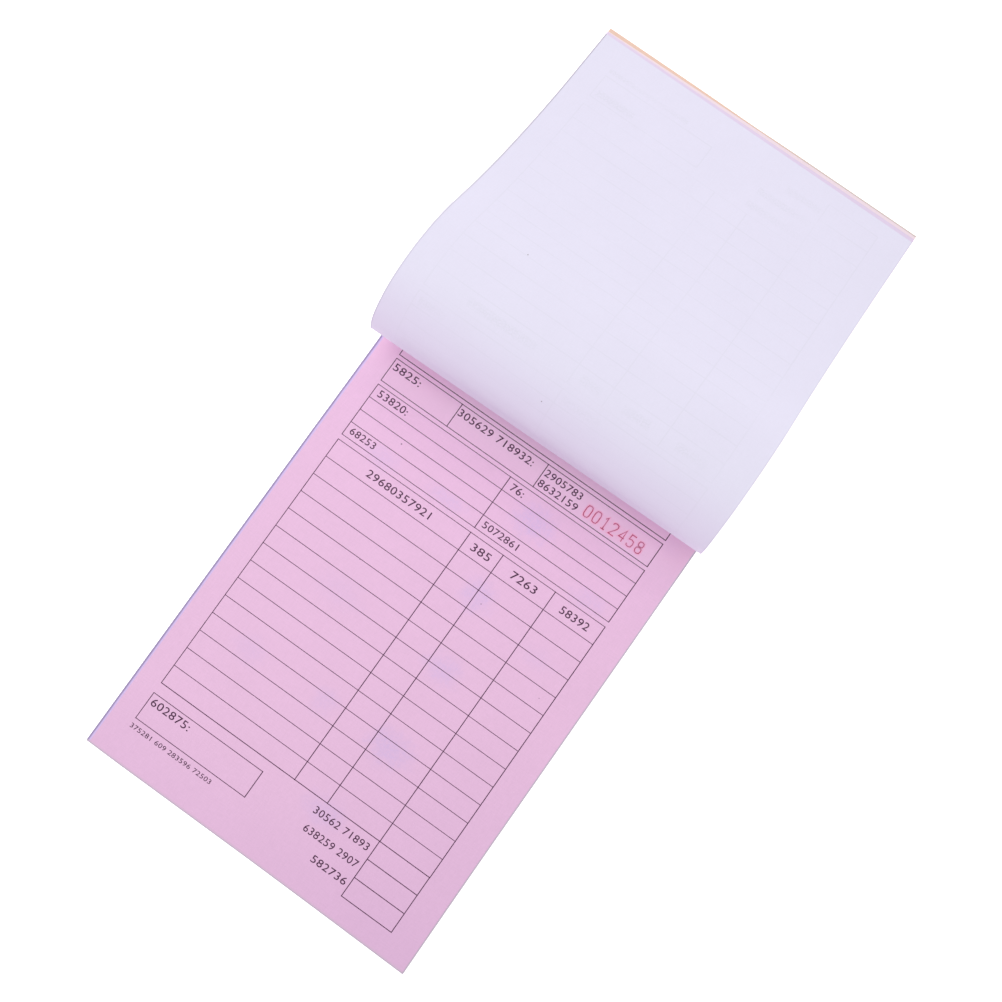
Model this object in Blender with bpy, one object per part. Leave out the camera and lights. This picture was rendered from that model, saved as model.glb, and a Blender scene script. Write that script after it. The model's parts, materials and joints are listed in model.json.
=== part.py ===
"""Head-bound duplicate order book, opened at its second set.

The pad lies flat. The front cover and the three leaves above the exposed pink
copy are turned over the bound head in one loop and lie behind the book.
Each turned leaf bends, so it is a row of stiff panels between fold lines that
all run across the book.

Frame: origin at the middle of the board's underside, +X to the reader's right,
+Y from the free edge of the page to the bound head, +Z up. Metres.
"""
import math

import bmesh
import bpy

MM = 0.001

# ---------------------------------------------------------------- dimensions
LEAF_W = 148.0            # leaf width (A5)
LEAF_L = 210.0            # leaf length, perforation to free edge (A5)
STUB_L = 12.0             # bound strip kept in the book when a leaf is torn off
BOOK_L = LEAF_L + STUB_L

BOARD_T = 1.6             # back board
PAPER_T = 0.10            # one sheet lying on the pad
SHEET_PITCH = 0.20        # one sheet to the next on the pad
PAGE_Z = 9.9              # top of the exposed pink copy above the table

TURNED_T = 0.12           # one turned leaf
TURNED_PITCH = 0.30       # one turned leaf to the next
COVER_T = 0.30            # card cover
HINGE_Z = 11.0            # middle of the turned bundle at the perforation

# fold lines of the turned bundle: a crease at the perforation, turns round the
# loop that ease off from its tight front to its back, and two turns the other
# way where the leaves come down to the table
PERF_FOLD_DEG = 41.0
LOOP_FOLD_DEG = (57.5, 41.5, 31.0, 23.5, 20.5)
TAIL_FOLD_DEG = (-10.5, -10.5)
FOLD_DEG = (PERF_FOLD_DEG,) + LOOP_FOLD_DEG + TAIL_FOLD_DEG
# panel lengths: short where the loop is tight in front, long down the back
PANEL_LEN = (30.0, 12.0, 15.0, 15.5, 18.0, 38.0, 41.5, 40.0)
FOLD_GAP = 0.15           # clearance of a panel end at its fold line

# how far each turned leaf runs past the nominal free edge, from the outside
# of the loop to the inside: an inner leaf has the shorter way round
EDGE_STEP = 0.65
EDGE_FIRST = -0.75

# binding
TAPE_T = 0.25
TAPE_TOP_W = 11.2         # tape on the cover side, measured from the head edge
TAPE_BACK_W = 11.8        # tape on the board side
REBATE_D = 0.90           # recess in the board for the tape and the clinched legs
REBATE_W = 12.4
TAPE_BACK_Z = 0.55        # underside of the tape below the board
STAPLE_X = 35.0           # staple centre from the middle
STAPLE_Y = BOOK_L / 2 - 6.0
STAPLE_W = 12.0           # leg to leg
WIRE_D = 0.50
CLINCH_L = 4.2
LEG_HOLE = 1.0            # square clearance hole for a leg

# perforation of the exposed copy
SLIT_L = 3.2
SLIT_W = 0.30
SLIT_N = 29

HALF_W = LEAF_W / 2
HALF_L = BOOK_L / 2
PERF_Y = HALF_L - STUB_L

COLOURS = {
    "white_paper": ((0.80, 0.78, 0.90), 0.62, 0.0),
    "pink_paper": ((0.82, 0.50, 0.74), 0.62, 0.0),
    "cover_card": ((0.86, 0.58, 0.36), 0.55, 0.0),
    "grey_board": ((0.46, 0.43, 0.38), 0.80, 0.0),
    "binding_cloth": ((0.035, 0.036, 0.045), 0.70, 0.0),
    "steel_wire": ((0.62, 0.62, 0.64), 0.30, 1.0),
}


def clear_scene():
    for obj in list(bpy.data.objects):
        bpy.data.objects.remove(obj, do_unlink=True)


def make_material(name):
    colour, rough, metal = COLOURS[name]
    mat = bpy.data.materials.new(name)
    mat.use_nodes = True
    shader = mat.node_tree.nodes["Principled BSDF"]
    shader.inputs["Base Color"].default_value = (*colour, 1.0)
    shader.inputs["Roughness"].default_value = rough
    shader.inputs["Metallic"].default_value = metal
    return mat


def add_object(name, mesh, mat, parent=None):
    obj = bpy.data.objects.new(name, mesh)
    mesh.materials.append(mat)
    bpy.context.collection.objects.link(obj)
    if parent is not None:
        obj.parent = parent
    return obj


def grid_solid(name, mat, xs, ys, zs, keep, parent=None):
    """Solid of the kept cells of a box grid, as one closed skin (mm in)."""
    xs, ys, zs = (sorted(set(round(v, 5) for v in axis)) for axis in (xs, ys, zs))
    n = (len(xs) - 1, len(ys) - 1, len(zs) - 1)

    def kept(i, j, k):
        if not (0 <= i < n[0] and 0 <= j < n[1] and 0 <= k < n[2]):
            return False
        return keep((xs[i] + xs[i + 1]) / 2, (ys[j] + ys[j + 1]) / 2, (zs[k] + zs[k + 1]) / 2)

    solid = {(i, j, k) for i in range(n[0]) for j in range(n[1]) for k in range(n[2]) if kept(i, j, k)}
    sides = (
        ((-1, 0, 0), ((0, 0, 0), (0, 0, 1), (0, 1, 1), (0, 1, 0))),
        ((1, 0, 0), ((1, 0, 0), (1, 1, 0), (1, 1, 1), (1, 0, 1))),
        ((0, -1, 0), ((0, 0, 0), (1, 0, 0), (1, 0, 1), (0, 0, 1))),
        ((0, 1, 0), ((0, 1, 0), (0, 1, 1), (1, 1, 1), (1, 1, 0))),
        ((0, 0, -1), ((0, 0, 0), (0, 1, 0), (1, 1, 0), (1, 0, 0))),
        ((0, 0, 1), ((0, 0, 1), (1, 0, 1), (1, 1, 1), (0, 1, 1))),
    )
    bm = bmesh.new()
    verts = {}

    def corner(i, j, k):
        if (i, j, k) not in verts:
            verts[(i, j, k)] = bm.verts.new((xs[i] * MM, ys[j] * MM, zs[k] * MM))
        return verts[(i, j, k)]

    for i, j, k in sorted(solid):
        for step, ring in sides:
            if (i + step[0], j + step[1], k + step[2]) not in solid:
                bm.faces.new([corner(i + a, j + b, k + c) for a, b, c in ring])
    mesh = bpy.data.meshes.new(name)
    bm.to_mesh(mesh)
    bm.free()
    return add_object(name, mesh, mat, parent)


LEGS = [(side * STAPLE_X + end * STAPLE_W / 2, STAPLE_Y) for side in (-1, 1) for end in (-1, 1)]


def in_leg_hole(x, y):
    return any(abs(x - lx) < LEG_HOLE / 2 and abs(y - ly) < LEG_HOLE / 2 for lx, ly in LEGS)


LEG_XS = [lx + s * LEG_HOLE / 2 for lx, _ in LEGS for s in (-1, 1)]
LEG_YS = [STAPLE_Y - LEG_HOLE / 2, STAPLE_Y + LEG_HOLE / 2]


def stapled_plate(name, mat, y0, y1, z0, z1, slits=(), shift_x=0.0):
    """Flat layer of the book with the four leg holes, and slits if given."""
    x0, x1 = -HALF_W + shift_x, HALF_W + shift_x
    xs = [x0, x1] + LEG_XS
    ys = [y0, y1] + LEG_YS
    for a, b in slits:
        xs += [a, b]
    if slits:
        ys += [PERF_Y - SLIT_W / 2, PERF_Y + SLIT_W / 2]

    def keep(x, y, z):
        if in_leg_hole(x, y):
            return False
        if slits and abs(y - PERF_Y) < SLIT_W / 2:
            return not any(a < x < b for a, b in slits)
        return True

    return grid_solid(name, mat, xs, ys, [z0, z1], keep)


def perforation():
    pitch = LEAF_W / SLIT_N
    return [(-HALF_W + (i + 0.5) * pitch - SLIT_L / 2, -HALF_W + (i + 0.5) * pitch + SLIT_L / 2)
            for i in range(SLIT_N)]


def back_board(mat):
    def keep(x, y, z):
        if in_leg_hole(x, y):
            return False
        return not (y > HALF_L - REBATE_W and z < REBATE_D)

    grid_solid("back_board", mat, [-HALF_W, HALF_W] + LEG_XS,
               [-HALF_L, HALF_L, HALF_L - REBATE_W] + LEG_YS, [0.0, REBATE_D, BOARD_T], keep)


def binding_tape(mat, top_z):
    """Cloth strip round the head: over the cover's stub, down the spine, under the board."""
    spine = HALF_L + 0.10

    def keep(x, y, z):
        if y > spine:
            return True
        if in_leg_hole(x, y):
            return False
        if z > top_z:
            return y > HALF_L - TAPE_TOP_W
        return z < TAPE_BACK_Z + TAPE_T and y > HALF_L - TAPE_BACK_W

    grid_solid("binding_tape", mat, [-HALF_W, HALF_W] + LEG_XS,
               [HALF_L - TAPE_TOP_W, HALF_L - TAPE_BACK_W, spine, spine + TAPE_T] + LEG_YS,
               [TAPE_BACK_Z, TAPE_BACK_Z + TAPE_T, top_z, top_z + TAPE_T], keep)


def staple(name, mat, cx, crown_z):
    """Bent wire: crown on the tape, two legs down, ends clinched inward below the board."""
    foot_z = TAPE_BACK_Z - 0.02 - WIRE_D / 2
    bend = 0.8
    half = STAPLE_W / 2
    path = [(-half + CLINCH_L, foot_z)]
    for px, pz, start in ((-half, foot_z, 270), (-half, crown_z, 180), (half, crown_z, 90), (half, foot_z, 0)):
        mx = px + (bend if px < 0 else -bend)
        mz = pz + (bend if pz == foot_z else -bend)
        for i in range(5):
            a = math.radians(start - 90 * i / 4)
            path.append((mx + bend * math.cos(a), mz + bend * math.sin(a)))
    path.append((half - CLINCH_L, foot_z))
    curve = bpy.data.curves.new(name, "CURVE")
    curve.dimensions = "3D"
    curve.bevel_depth = WIRE_D / 2 * MM
    curve.bevel_resolution = 2
    curve.use_fill_caps = True
    spline = curve.splines.new("POLY")
    spline.points.add(len(path) - 1)
    for point, (px, pz) in zip(spline.points, path):
        point.co = (px * MM, 0.0, pz * MM, 1.0)
    obj = bpy.data.objects.new(name, curve)
    curve.materials.append(mat)
    obj.location = (cx * MM, STAPLE_Y * MM, 0.0)
    bpy.context.collection.objects.link(obj)


def fold_trim(outer, inner, deg):
    """Length a panel gives up at a fold so that neighbours never meet.

    outer and inner are the leaf's two faces, as distances from the fold axis
    towards the outside of the loop.
    """
    half = math.radians(abs(deg)) / 2
    reach = max(0.0, -inner) if deg > 0 else max(0.0, outer)
    return reach * math.tan(half) + FOLD_GAP


def turned_leaves(mats):
    """Name, material and faces (outer, inner) of the turned leaves, outside first."""
    names = ("white_copy_2", "pink_copy_1", "white_copy_1")
    first = 1.5 * TURNED_PITCH
    leaves = []
    for i, name in enumerate(names):
        mid = first - i * TURNED_PITCH
        mat = mats["white_paper"] if name.startswith("white") else mats["pink_paper"]
        leaves.append((name, mat, mid + TURNED_T / 2, mid - TURNED_T / 2))
    last_inner = leaves[-1][3]
    cover_outer = last_inner - (TURNED_PITCH - TURNED_T)
    leaves.append(("front_cover", mats["cover_card"], cover_outer, cover_outer - COVER_T))
    return leaves


def build():
    clear_scene()
    mats = {name: make_material(name) for name in COLOURS}

    back_board(mats["grey_board"])

    # sheets lying on the pad, from the exposed copy down, then the rest as one stack
    top = PAGE_Z
    stack = ("pink_copy_2", "white_copy_3", "pink_copy_3", "white_copy_4", "pink_copy_4")
    shifts = (0.0, -0.9, -0.2, -0.5, 0.1)
    for i, name in enumerate(stack):
        mat = mats["white_paper"] if name.startswith("white") else mats["pink_paper"]
        z1 = top - i * SHEET_PITCH
        slits = perforation() if i == 0 else ()
        stapled_plate(name, mat, -HALF_L, HALF_L, z1 - PAPER_T, z1, slits, shifts[i])
    stack_top = top - len(stack) * SHEET_PITCH
    stapled_plate("remaining_sets", mats["white_paper"], -HALF_L, HALF_L, BOARD_T + 0.10, stack_top)

    # turned leaves: stub held in the binding, then one panel after each fold line
    folds = []
    parent = None
    for k, (length, deg) in enumerate(zip(PANEL_LEN, FOLD_DEG)):
        empty = bpy.data.objects.new("fold_%d_axis" % (k + 1), None)
        bpy.context.collection.objects.link(empty)
        empty.rotation_euler = (-math.radians(deg), 0.0, 0.0)
        if parent is None:
            empty.location = (0.0, PERF_Y * MM, HINGE_Z * MM)
        else:
            empty.parent = parent
            empty.location = (0.0, -PANEL_LEN[k - 1] * MM, 0.0)
        folds.append(empty)
        parent = empty

    leaves = turned_leaves(mats)
    for order, (name, mat, outer, inner) in enumerate(leaves):
        stapled_plate(name + "_stub", mat, PERF_Y + fold_trim(outer, inner, FOLD_DEG[0]), HALF_L,
                      HINGE_Z - outer, HINGE_Z - inner)
        for k, length in enumerate(PANEL_LEN):
            y1 = -fold_trim(outer, inner, FOLD_DEG[k])
            if k + 1 < len(PANEL_LEN):
                y0 = -length + fold_trim(outer, inner, FOLD_DEG[k + 1])
            else:
                y0 = -length - EDGE_FIRST - order * EDGE_STEP
            grid_solid("%s_panel_%d" % (name, k + 1), mat, [-HALF_W, HALF_W], [y0, y1],
                       [-outer, -inner], lambda x, y, z: True, folds[k])

    cover_top = HINGE_Z - leaves[-1][3]
    tape_top = cover_top + 0.10
    binding_tape(mats["binding_cloth"], tape_top)
    crown_z = tape_top + TAPE_T + 0.05 + WIRE_D / 2
    staple("staple_left", mats["steel_wire"], -STAPLE_X, crown_z)
    staple("staple_right", mats["steel_wire"], STAPLE_X, crown_z)


build()
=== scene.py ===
"""Looks of a head-bound duplicate order book that lies open at its second set.

Lengths in the tables below are millimetres. Page places are given as x from the
middle of the page and y from its free edge; leaf places as x and the way s along
the leaf from the perforation.
"""

import json
import math
import random

import bmesh
import bpy
import numpy as np
from mathutils import Euler, Matrix, Vector

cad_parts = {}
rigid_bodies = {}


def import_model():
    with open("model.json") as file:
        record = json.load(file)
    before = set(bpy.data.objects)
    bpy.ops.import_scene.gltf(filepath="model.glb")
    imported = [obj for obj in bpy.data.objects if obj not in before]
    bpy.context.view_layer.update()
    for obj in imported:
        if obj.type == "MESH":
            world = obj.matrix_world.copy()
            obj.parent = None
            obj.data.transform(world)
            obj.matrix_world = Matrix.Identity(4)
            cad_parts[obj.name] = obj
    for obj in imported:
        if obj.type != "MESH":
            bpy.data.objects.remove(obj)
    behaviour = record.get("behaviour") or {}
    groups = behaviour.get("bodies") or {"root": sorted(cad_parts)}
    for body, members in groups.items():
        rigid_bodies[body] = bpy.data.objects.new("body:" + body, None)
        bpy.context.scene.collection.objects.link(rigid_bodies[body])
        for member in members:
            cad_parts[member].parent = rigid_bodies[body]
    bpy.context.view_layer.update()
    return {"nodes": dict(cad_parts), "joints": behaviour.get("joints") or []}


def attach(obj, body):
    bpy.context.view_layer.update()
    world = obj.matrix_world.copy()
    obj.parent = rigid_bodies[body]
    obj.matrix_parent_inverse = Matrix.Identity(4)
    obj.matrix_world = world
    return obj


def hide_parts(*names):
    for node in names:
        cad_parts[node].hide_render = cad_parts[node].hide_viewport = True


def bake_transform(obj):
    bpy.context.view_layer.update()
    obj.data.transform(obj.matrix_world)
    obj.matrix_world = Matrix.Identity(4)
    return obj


for old in list(bpy.data.objects):
    bpy.data.objects.remove(old, do_unlink=True)

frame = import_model()
NODES = frame["nodes"]

MM = 0.001
HALF_W, HALF_L = 74.0, 111.0
PERF_Y, PAGE_Z = 99.0, 9.9
LEAF_L, STUB_L = 210.0, 12.0


# ---------------------------------------------------------------- camera, light
def camera():
    data = bpy.data.cameras.new("camera")
    data.sensor_width = 36.0
    data.lens = 55.997
    data.clip_start, data.clip_end = 0.01, 20.0
    cam = bpy.data.objects.new("camera", data)
    cam.location = (0.043471, 0.00218, 0.601996)
    cam.rotation_euler = Euler([math.radians(a) for a in (6.2555, 0.4982, 35.3085)])
    bpy.context.scene.collection.objects.link(cam)
    bpy.context.scene.camera = cam


def lights():
    scene = bpy.context.scene
    scene.view_settings.view_transform = "Standard"
    world = bpy.data.worlds.new("studio")
    world.use_nodes = True
    tree = world.node_tree
    back = tree.nodes["Background"]
    back.inputs["Color"].default_value = (1.0, 1.0, 1.0, 1.0)
    # an even surround that grows brighter overhead
    place, split = tree.nodes.new("ShaderNodeTexCoord"), tree.nodes.new("ShaderNodeSeparateXYZ")
    tree.links.new(place.outputs["Generated"], split.inputs[0])
    above = Num(tree, split.outputs["Z"]).max(0.0).math("POWER", 3.0)
    tree.links.new((above * WORLD_TOP + WORLD_SIDE).socket, back.inputs["Strength"])
    scene.world = world
    for name, power, size, place, aim in LAMPS:
        data = bpy.data.lights.new(name, "AREA")
        data.shape = "DISK"
        data.size = size
        data.energy = power
        lamp = bpy.data.objects.new(name, data)
        lamp.location = place
        lamp.rotation_euler = (Vector(aim) - Vector(place)).to_track_quat("-Z", "Y").to_euler()
        scene.collection.objects.link(lamp)


WORLD_SIDE, WORLD_TOP = 0.468, 0.639
FLOOR_GLOW = 0.80
LAMPS = (
    ("key", 0.70, 0.3, (-0.32, 0.08, 0.62), (-0.05, 0.05, 0.0)),
    ("far", 0.72, 0.4, (-0.28, 0.36, 0.60), (-0.05, 0.10, 0.0)),
)


# ---------------------------------------------------------------- node helpers
class Num:
    """A number in a node tree; arithmetic on it adds Math nodes."""

    def __init__(self, tree, socket):
        self.tree, self.socket = tree, socket

    def math(self, op, *others):
        node = self.tree.nodes.new("ShaderNodeMath")
        node.operation = op
        for i, value in enumerate((self,) + others):
            if isinstance(value, Num):
                self.tree.links.new(value.socket, node.inputs[i])
            else:
                node.inputs[i].default_value = value
        return Num(self.tree, node.outputs[0])

    def __add__(self, o): return self.math("ADD", o)
    def __sub__(self, o): return self.math("SUBTRACT", o)
    def __mul__(self, o): return self.math("MULTIPLY", o)
    def __truediv__(self, o): return self.math("DIVIDE", o)
    def abs(self): return self.math("ABSOLUTE")
    def max(self, o): return self.math("MAXIMUM", o)
    def min(self, o): return self.math("MINIMUM", o)

    def step(self, low, high, to_low=0.0, to_high=1.0):
        """Smooth step from to_low at low to to_high at high."""
        node = self.tree.nodes.new("ShaderNodeMapRange")
        node.interpolation_type = "SMOOTHSTEP"
        self.tree.links.new(self.socket, node.inputs["Value"])
        for key, value in (("From Min", low), ("From Max", high), ("To Min", to_low), ("To Max", to_high)):
            node.inputs[key].default_value = value
        return Num(self.tree, node.outputs["Result"])


MATS = {}


class Paint:
    """A Principled material under construction, kept in MATS by its name."""

    def __init__(self, name, roughness=0.6, metallic=0.0, specular=0.3):
        self.mat = bpy.data.materials.new("look_" + name)
        self.mat.use_nodes = True
        MATS[name] = self.mat
        self.tree = self.mat.node_tree
        self.shader = self.tree.nodes["Principled BSDF"]
        self.shader.inputs["Roughness"].default_value = roughness
        self.shader.inputs["Metallic"].default_value = metallic
        self.shader.inputs["Specular IOR Level"].default_value = specular

    def node(self, kind, **settings):
        node = self.tree.nodes.new(kind)
        for key, value in settings.items():
            setattr(node, key, value)
        return node

    def leaf_map(self):
        """Place on the sheet in mm, as a vector, and its x and y."""
        uv = self.node("ShaderNodeUVMap", uv_map="leaf")
        scale = self.node("ShaderNodeVectorMath", operation="SCALE")
        scale.inputs["Scale"].default_value = 100.0
        self.tree.links.new(uv.outputs["UV"], scale.inputs[0])
        split = self.node("ShaderNodeSeparateXYZ")
        self.tree.links.new(scale.outputs["Vector"], split.inputs[0])
        return scale.outputs["Vector"], Num(self.tree, split.outputs["X"]), Num(self.tree, split.outputs["Y"])

    def place_map(self):
        """Place on the object in mm."""
        tex = self.node("ShaderNodeTexCoord")
        scale = self.node("ShaderNodeVectorMath", operation="SCALE")
        scale.inputs["Scale"].default_value = 1000.0
        self.tree.links.new(tex.outputs["Object"], scale.inputs[0])
        split = self.node("ShaderNodeSeparateXYZ")
        self.tree.links.new(scale.outputs["Vector"], split.inputs[0])
        return scale.outputs["Vector"], [Num(self.tree, split.outputs[k]) for k in "XYZ"]

    def stretched(self, vector, factors):
        node = self.node("ShaderNodeMapping")
        node.inputs["Scale"].default_value = factors
        self.tree.links.new(vector, node.inputs["Vector"])
        return node.outputs["Vector"]

    def noise(self, vector, scale, detail=2.0, rough=0.5, dims="3D"):
        node = self.node("ShaderNodeTexNoise", noise_dimensions=dims)
        self.tree.links.new(vector, node.inputs["Vector"])
        node.inputs["Scale"].default_value = scale
        node.inputs["Detail"].default_value = detail
        node.inputs["Roughness"].default_value = rough
        return Num(self.tree, node.outputs["Fac"])

    def cells(self, vector, scale, feature="F1"):
        node = self.node("ShaderNodeTexVoronoi", feature=feature)
        self.tree.links.new(vector, node.inputs["Vector"])
        node.inputs["Scale"].default_value = scale
        return Num(self.tree, node.outputs["Distance"]), node.outputs["Color"]

    def mix(self, a, b, amount, kind="MIX"):
        node = self.node("ShaderNodeMix", data_type="RGBA", blend_type=kind)
        ins = [s for s in node.inputs if s.type == "RGBA"]
        for socket, value in zip(ins, (a, b)):
            if isinstance(value, tuple):
                socket.default_value = (*value, 1.0)
            else:
                self.tree.links.new(value, socket)
        factor = node.inputs["Factor"]
        if isinstance(amount, Num):
            self.tree.links.new(amount.socket, factor)
        else:
            factor.default_value = amount
        return [s for s in node.outputs if s.type == "RGBA"][0]

    def shade(self, colour, factor):
        """colour times a number."""
        node = self.node("ShaderNodeVectorMath", operation="SCALE")
        if isinstance(colour, tuple):
            node.inputs[0].default_value = colour
        else:
            self.tree.links.new(colour, node.inputs[0])
        self.tree.links.new(factor.socket, node.inputs["Scale"])
        return node.outputs["Vector"]

    def colour(self, socket):
        self.tree.links.new(socket, self.shader.inputs["Base Color"])

    def roughness(self, num):
        self.tree.links.new(num.socket, self.shader.inputs["Roughness"])

    def bump(self, num, distance, strength=1.0):
        node = self.node("ShaderNodeBump")
        node.inputs["Distance"].default_value = distance
        node.inputs["Strength"].default_value = strength
        self.tree.links.new(num.socket, node.inputs["Height"])
        self.tree.links.new(node.outputs["Normal"], self.shader.inputs["Normal"])


# ---------------------------------------------------------------- form layout
TABLE_Y0, ROW, ROWS = 32.66, 8.148, 13
TABLE_HEAD = (138.58, 146.75)
COLUMNS = (-63.18, -0.72, 14.47, 38.75, 61.70)
ADDRESS = (149.06, 155.02, 160.99, 166.97, 172.96)
ADDRESS_X = (-63.19, -0.65, 61.73)
NUMBERS_Y = (174.78, 185.26)
NUMBERS_X = (-63.25, -32.06, 8.50, 61.69)
HEADER_Y = (187.05, 205.5)
TOTALS_X = (38.68, 61.60)
TOTALS_Y = (24.70, 16.48, 8.21)
SIGN_X, SIGN_Y = (-63.25, -12.18), (16.53, 28.08)

# printed field codes: figures, x from, x to, y of the middle line, height of a figure
LABELS = (
    ("5825:", -62.2, -49.8, 182.3, 3.1),
    ("305629 718932:", -31.4, 3.5, 182.2, 3.1),
    ("2905783", 9.3, 26.3, 182.2, 3.0),
    ("8632159", 9.3, 27.1, 177.6, 3.0),
    ("53820:", -61.0, -47.4, 170.3, 3.1),
    ("76:", 1.7, 7.5, 170.1, 3.1),
    ("68253", -61.3, -49.8, 152.3, 2.9),
    ("5072861", 1.3, 17.4, 152.2, 2.9),
    ("29680357921", -46.4, -16.9, 142.7, 3.2),
    ("385", 2.7, 11.2, 142.7, 3.2),
    ("7263", 21.1, 32.7, 142.7, 3.2),
    ("58392", 44.0, 56.9, 142.7, 3.2),
    ("602875:", -61.9, -44.3, 25.1, 3.2),
    ("375281 609 283596 72503", -63.3, -25.8, 13.5, 1.9),
    ("30562 71893", 11.8, 36.7, 28.3, 3.0),
    ("638259 2907", 12.5, 37.0, 20.8, 3.0),
    ("582736", 21.5, 37.2, 13.2, 3.0),
)
SERIAL = ("0012458", 30.1, 56.5, 176.7, 4.8)

# line widths: across and down
THIN, MEDIUM, UPRIGHT = 0.26, 0.33, 0.35


def form_lines():
    """Ruled lines of the form: (x0, y0, x1, y1, width) of each, in page mm."""
    lines = []

    def across(y, x0, x1, width):
        lines.append((x0, y, x1, y, width))

    def down(x, y0, y1):
        lines.append((x, y0, x, y1, UPRIGHT if x > -60.0 else 0.31))

    def box(x0, y0, x1, y1, width):
        for y in (y0, y1):
            across(y, x0, x1, width)
        for x in (x0, x1):
            down(x, y0, y1)

    for i in range(ROWS + 1):
        across(TABLE_Y0 + ROW * i, COLUMNS[0], COLUMNS[-1], MEDIUM if i == 0 else THIN)
    across(TABLE_HEAD[1], COLUMNS[0], COLUMNS[-1], THIN)
    for x in COLUMNS:
        down(x, TABLE_Y0, TABLE_HEAD[1])
    box(ADDRESS_X[0], ADDRESS[0], ADDRESS_X[2], ADDRESS[-1], THIN)
    for y in ADDRESS[1:-1]:
        across(y, ADDRESS_X[0], ADDRESS_X[2], THIN)
    down(ADDRESS_X[1], ADDRESS[0], ADDRESS[-1])
    box(NUMBERS_X[0], NUMBERS_Y[0], NUMBERS_X[-1], NUMBERS_Y[1], 0.29)
    for x in NUMBERS_X[1:-1]:
        down(x, *NUMBERS_Y)
    box(NUMBERS_X[0], HEADER_Y[0], NUMBERS_X[-1], HEADER_Y[1], MEDIUM)
    for y in TOTALS_Y:
        across(y, *TOTALS_X, MEDIUM)
    for x in TOTALS_X:
        down(x, TOTALS_Y[-1], TABLE_Y0)
    box(SIGN_X[0], SIGN_Y[0], SIGN_X[1], SIGN_Y[1], 0.28)
    return lines


# ---------------------------------------------------------------- paper
def paper_ground(paint, vector, base, mottle=0.02, grain=0.03):
    """Formation of a paper sheet: cloudy mottle, fibres lying along the sheet, fine grain."""
    cloud = paint.noise(vector, 0.045, 3.0, 0.55)
    fibre_a = paint.noise(paint.stretched(vector, (0.25, 1.6, 1.0)), 1.1, 3.0, 0.6)
    fibre_b = paint.noise(paint.stretched(vector, (1.5, 0.3, 1.0)), 1.0, 3.0, 0.6)
    fine = paint.noise(vector, 2.6, 2.0, 0.6)
    tone = (cloud - 0.5) * (2 * mottle) + (fibre_a + fibre_b - 1.0) * grain + (fine - 0.5) * grain + 1.0
    height = fibre_a + fibre_b + fine * 0.8
    return paint.shade(base, tone), height, cloud, fine


def flecks(paint, vector, colour, fleck, scale, size, amount=0.8):
    """Rare dark fibres and dust specks in the sheet."""
    near, _ = paint.cells(vector, scale)
    return paint.mix(colour, fleck, near.step(size, size * 0.45) * amount)


def specks(paint, x, y, colour, places):
    """Single dark specks: x, y, radius and strength of each."""
    for at_x, at_y, radius, strength in places:
        dx, dy = x - at_x, y - at_y
        colour = paint.mix(colour, (0.10, 0.05, 0.10), (dx * dx + dy * dy).math("SQRT").step(radius, radius * 0.4) * strength)
    return colour


WHITE = (0.810, 0.780, 0.930)
PINK = (0.860, 0.545, 0.780)
PINK_BACK = (0.812, 0.680, 0.872)
CARD = (0.870, 0.610, 0.490)
# strength of the painted shade where the outer turned leaf bends hardest
BEND_SHADE_AMOUNT = 0.6
PAGE_SPECKS = ((-42.2, 159.1, 0.42, 0.75), (-29.2, 113.9, 0.30, 0.6), (18.3, 126.7, 0.34, 0.6), (56.7, 110.4, 0.30, 0.55))
LEAF_SPECKS = ((-40.0, 96.6, 0.34, 0.75), (-4.4, 52.7, 0.30, 0.7))


def white_paper():
    paint = Paint("white_paper")
    vector, x, y = paint.leaf_map()
    colour, height, cloud, fine = paper_ground(paint, vector, WHITE, 0.012, 0.022)
    colour = flecks(paint, vector, colour, (0.30, 0.26, 0.38), 0.045, 0.008)
    paint.colour(colour)
    paint.roughness(fine * 0.15 + 0.56)
    paint.bump(height, 0.00003, 0.35)


def show_through(paint, x, y):
    """How much of the ruled form on the other side shows, softened by the paper; y in page mm."""
    def line(value, at, half=0.42):
        return (value - at).abs().step(half, 0.0)

    def between(value, low, high):
        return value.step(low - 0.3, low + 0.3) * value.step(high + 0.3, high - 0.3)

    def rule(span, lines_at, across):
        total = None
        for at in lines_at:
            one = line(span, at)
            total = one if total is None else total.max(one)
        return total * across

    table = between(x, COLUMNS[0], COLUMNS[-1]) * between(y, TABLE_Y0, TABLE_HEAD[1])
    # the even rows as one repeating line
    turn = ((y - TABLE_Y0) / ROW).math("FRACT")
    rows = (turn - 0.5).abs().step(0.5 - 0.42 / ROW, 0.5) * table
    columns = rule(x, COLUMNS, between(y, TABLE_Y0, TABLE_HEAD[1]))
    address = rule(y, ADDRESS, between(x, ADDRESS_X[0], ADDRESS_X[2])).max(
        rule(x, ADDRESS_X, between(y, ADDRESS[0], ADDRESS[-1])))
    numbers = rule(y, NUMBERS_Y + HEADER_Y, between(x, NUMBERS_X[0], NUMBERS_X[-1])).max(
        rule(x, NUMBERS_X, between(y, *NUMBERS_Y))).max(
        rule(x, (NUMBERS_X[0], NUMBERS_X[-1]), between(y, *HEADER_Y)))
    totals = rule(y, TOTALS_Y, between(x, *TOTALS_X)).max(
        rule(x, TOTALS_X, between(y, TOTALS_Y[-1], TABLE_Y0)))
    sign = rule(y, SIGN_Y, between(x, *SIGN_X)).max(rule(x, SIGN_X, between(y, *SIGN_Y)))
    ruled = rows.max(columns).max(address).max(numbers).max(totals).max(sign)
    # the printed figures as soft broken bars
    bars = None
    for _, left, right, mid, height in LABELS:
        one = (y - mid).abs().step(height * 0.75, height * 0.25) * between(x, left, right)
        bars = one if bars is None else bars.max(one)
    return ruled, bars


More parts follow.
